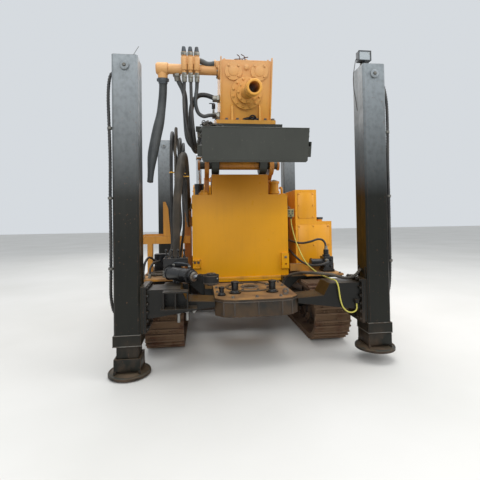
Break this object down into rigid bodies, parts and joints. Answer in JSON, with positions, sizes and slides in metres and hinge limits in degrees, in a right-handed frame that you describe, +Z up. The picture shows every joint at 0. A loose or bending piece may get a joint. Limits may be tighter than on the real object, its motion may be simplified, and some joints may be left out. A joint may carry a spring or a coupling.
{
  "type": "crawler rotary drilling rig",
  "caption": "Tracked rotary drilling rig with a lowered tilting mast, sliding rotary head, drilling table and corner jack legs.",
  "frame": {"origin": "on the ground, in the middle of the rig's length and width, mast stored", "axes": "+Z up, +Y towards the engine end, -Y towards the drilling end, X across, +X on the right seen from the drilling end"},
  "size_m": [2.39, 5.007, 3.2389],
  "materials": {
    "chassis_frame": "black paint, dusty",
    "deck": "yellow paint, worn",
    "track_left": "rusty shoes",
    "track_right": "rusty shoes",
    "track_frame_left": "dirty black",
    "track_frame_right": "dirty black",
    "leg_rear_left": "black paint, satin",
    "leg_rear_right": "black paint, satin",
    "leg_front_left": "black paint, satin",
    "leg_front_right": "black paint, satin",
    "table": "yellow paint worn to rust",
    "table_insert": "rusty",
    "table_posts": "black paint",
    "tank": "yellow paint, satin",
    "tank_filter": "yellow paint",
    "pedestal": "yellow paint, rusty edges",
    "mast_rest": "yellow paint",
    "hood": "yellow paint",
    "engine": "dark grey",
    "exhaust": "heat-browned",
    "fuel_box": "yellow paint",
    "valve_bank": "oily black",
    "side_valve": "oily black",
    "lever_valve": "oily black, rusty",
    "breakout_bracket": "black paint",
    "lamp": "dark grey",
    "pendant_box": "khaki",
    "body_hose": "dull",
    "pendant_cable": "yellow sheath",
    "mast_girder": "black paint, worn rails",
    "mast_foot": "black paint",
    "feed_chain": "greased chain",
    "crown_wheels": "greased",
    "carriage": "black paint, greasy",
    "gearbox": "yellow paint, satin",
    "motors": "dark grey",
    "air_pipe": "yellow paint",
    "air_hose": "dull",
    "head_hose": "dull",
    "spindle": "yellow paint, bare at the end",
    "lift_barrels": "black paint",
    "lift_rods": "polished",
    "breakout_barrel": "gloss black",
    "breakout_rod": "chrome rod, black eye",
    "hood_door_left": "yellow paint",
    "hood_door_right": "yellow paint",
    "foot_rear_left": "black paint, scraped",
    "foot_rear_right": "black paint, scraped",
    "foot_front_left": "black paint, scraped",
    "foot_front_right": "black paint, scraped"
  },
  "bodies": {
    "chassis": {"chassis_frame": "chassis_frame", "deck": "deck", "track_left": "track_left", "track_right": "track_right", "track_frame_left": "track_frame_left", "track_frame_right": "track_frame_right", "leg_rear_left": "leg_rear_left", "leg_rear_right": "leg_rear_right", "leg_front_left": "leg_front_left", "leg_front_right": "leg_front_right", "table": "table", "table_insert": "table_insert", "table_posts": "table_posts", "tank": "tank", "tank_filter": "tank_filter", "pedestal": "pedestal", "mast_rest": "mast_rest", "hood": "hood", "engine": "engine", "exhaust": "exhaust", "fuel_box": "fuel_box", "valve_bank": "valve_bank", "side_valve": "side_valve", "lever_valve": "lever_valve", "breakout_bracket": "breakout_bracket", "lamp": "lamp", "pendant_box": "pendant_box", "body_hose": "body_hose", "pendant_cable": "pendant_cable"},
    "mast": {"mast_girder": "mast_girder", "mast_foot": "mast_foot", "feed_chain": "feed_chain"},
    "crown": {"crown_wheels": "crown_wheels"},
    "head": {"carriage": "carriage", "gearbox": "gearbox", "motors": "motors", "air_pipe": "air_pipe", "air_hose": "air_hose", "head_hose": "head_hose"},
    "spindle": {"spindle": "spindle"},
    "lift_barrel": {"lift_barrels": "lift_barrels"},
    "lift_rod": {"lift_rods": "lift_rods"},
    "breakout_barrel": {"breakout_barrel": "breakout_barrel"},
    "breakout_rod": {"breakout_rod": "breakout_rod"},
    "door_left": {"hood_door_left": "hood_door_left"},
    "door_right": {"hood_door_right": "hood_door_right"},
    "foot_rear_left": {"foot_rear_left": "foot_rear_left"},
    "foot_rear_right": {"foot_rear_right": "foot_rear_right"},
    "foot_front_left": {"foot_front_left": "foot_front_left"},
    "foot_front_right": {"foot_front_right": "foot_front_right"}
  },
  "joints": [
    {"name": "mast_raise", "type": "hinge", "parent": "chassis", "child": "mast", "pos_m": [0, -1.19018, 1.86], "axis": [1, 0, 0], "range_deg": [-15, 75]},
    {"name": "head_feed", "type": "slide", "parent": "mast", "child": "head", "axis": [0, 0.9659, 0.2588], "range_m": [-0.15, 3.2]},
    {"name": "spindle_turn", "type": "hinge", "parent": "head", "child": "spindle", "pos_m": [0, -2.10246, 2.39201], "axis": [0, 0.9659, 0.2588], "continuous": true},
    {"name": "crown_turn", "type": "hinge", "parent": "mast", "child": "crown", "pos_m": [0, 2.38518, 3.12135], "axis": [1, 0, 0], "continuous": true},
    {"name": "lift_swing", "type": "hinge", "parent": "chassis", "child": "lift_barrel", "pos_m": [0, -0.29018, 0.62], "axis": [1, 0, 0], "range_deg": [-12, 25]},
    {"name": "lift_stroke", "type": "slide", "parent": "lift_barrel", "child": "lift_rod", "axis": [0, -0.1591, 0.9873], "range_m": [-0.2, 0.85]},
    {"name": "breakout_swing", "type": "hinge", "parent": "chassis", "child": "breakout_barrel", "pos_m": [-0.67, -2.09018, 0.745], "axis": [0, 0, 1], "range_deg": [-8, 15]},
    {"name": "breakout_stroke", "type": "slide", "parent": "breakout_barrel", "child": "breakout_rod", "axis": [0.6691, -0.7431, 0], "range_m": [0, 0.2]},
    {"name": "door_left_swing", "type": "hinge", "parent": "chassis", "child": "door_left", "pos_m": [-0.574, -0.02018, 1.12], "axis": [0, 0, 1], "range_deg": [0, 90]},
    {"name": "door_right_swing", "type": "hinge", "parent": "chassis", "child": "door_right", "pos_m": [0.574, -0.02018, 1.12], "axis": [0, 0, -1], "range_deg": [0, 90]},
    {"name": "leg_rear_left_extend", "type": "slide", "parent": "chassis", "child": "foot_rear_left", "axis": [0, 0, -1], "range_m": [-0.09, 1.1]},
    {"name": "leg_rear_right_extend", "type": "slide", "parent": "chassis", "child": "foot_rear_right", "axis": [0, 0, -1], "range_m": [0, 1.1]},
    {"name": "leg_front_left_extend", "type": "slide", "parent": "chassis", "child": "foot_front_left", "axis": [0, 0, -1], "range_m": [-0.04, 1.1]},
    {"name": "leg_front_right_extend", "type": "slide", "parent": "chassis", "child": "foot_front_right", "axis": [0, 0, -1], "range_m": [-0.04, 1.1]}
  ],
  "couplings": [
    {"joint": "lift_swing", "follows": "mast_raise", "ratio": 0.2258},
    {"joint": "lift_stroke", "follows": "mast_raise", "m_per_rad": 0.5131}
  ]
}
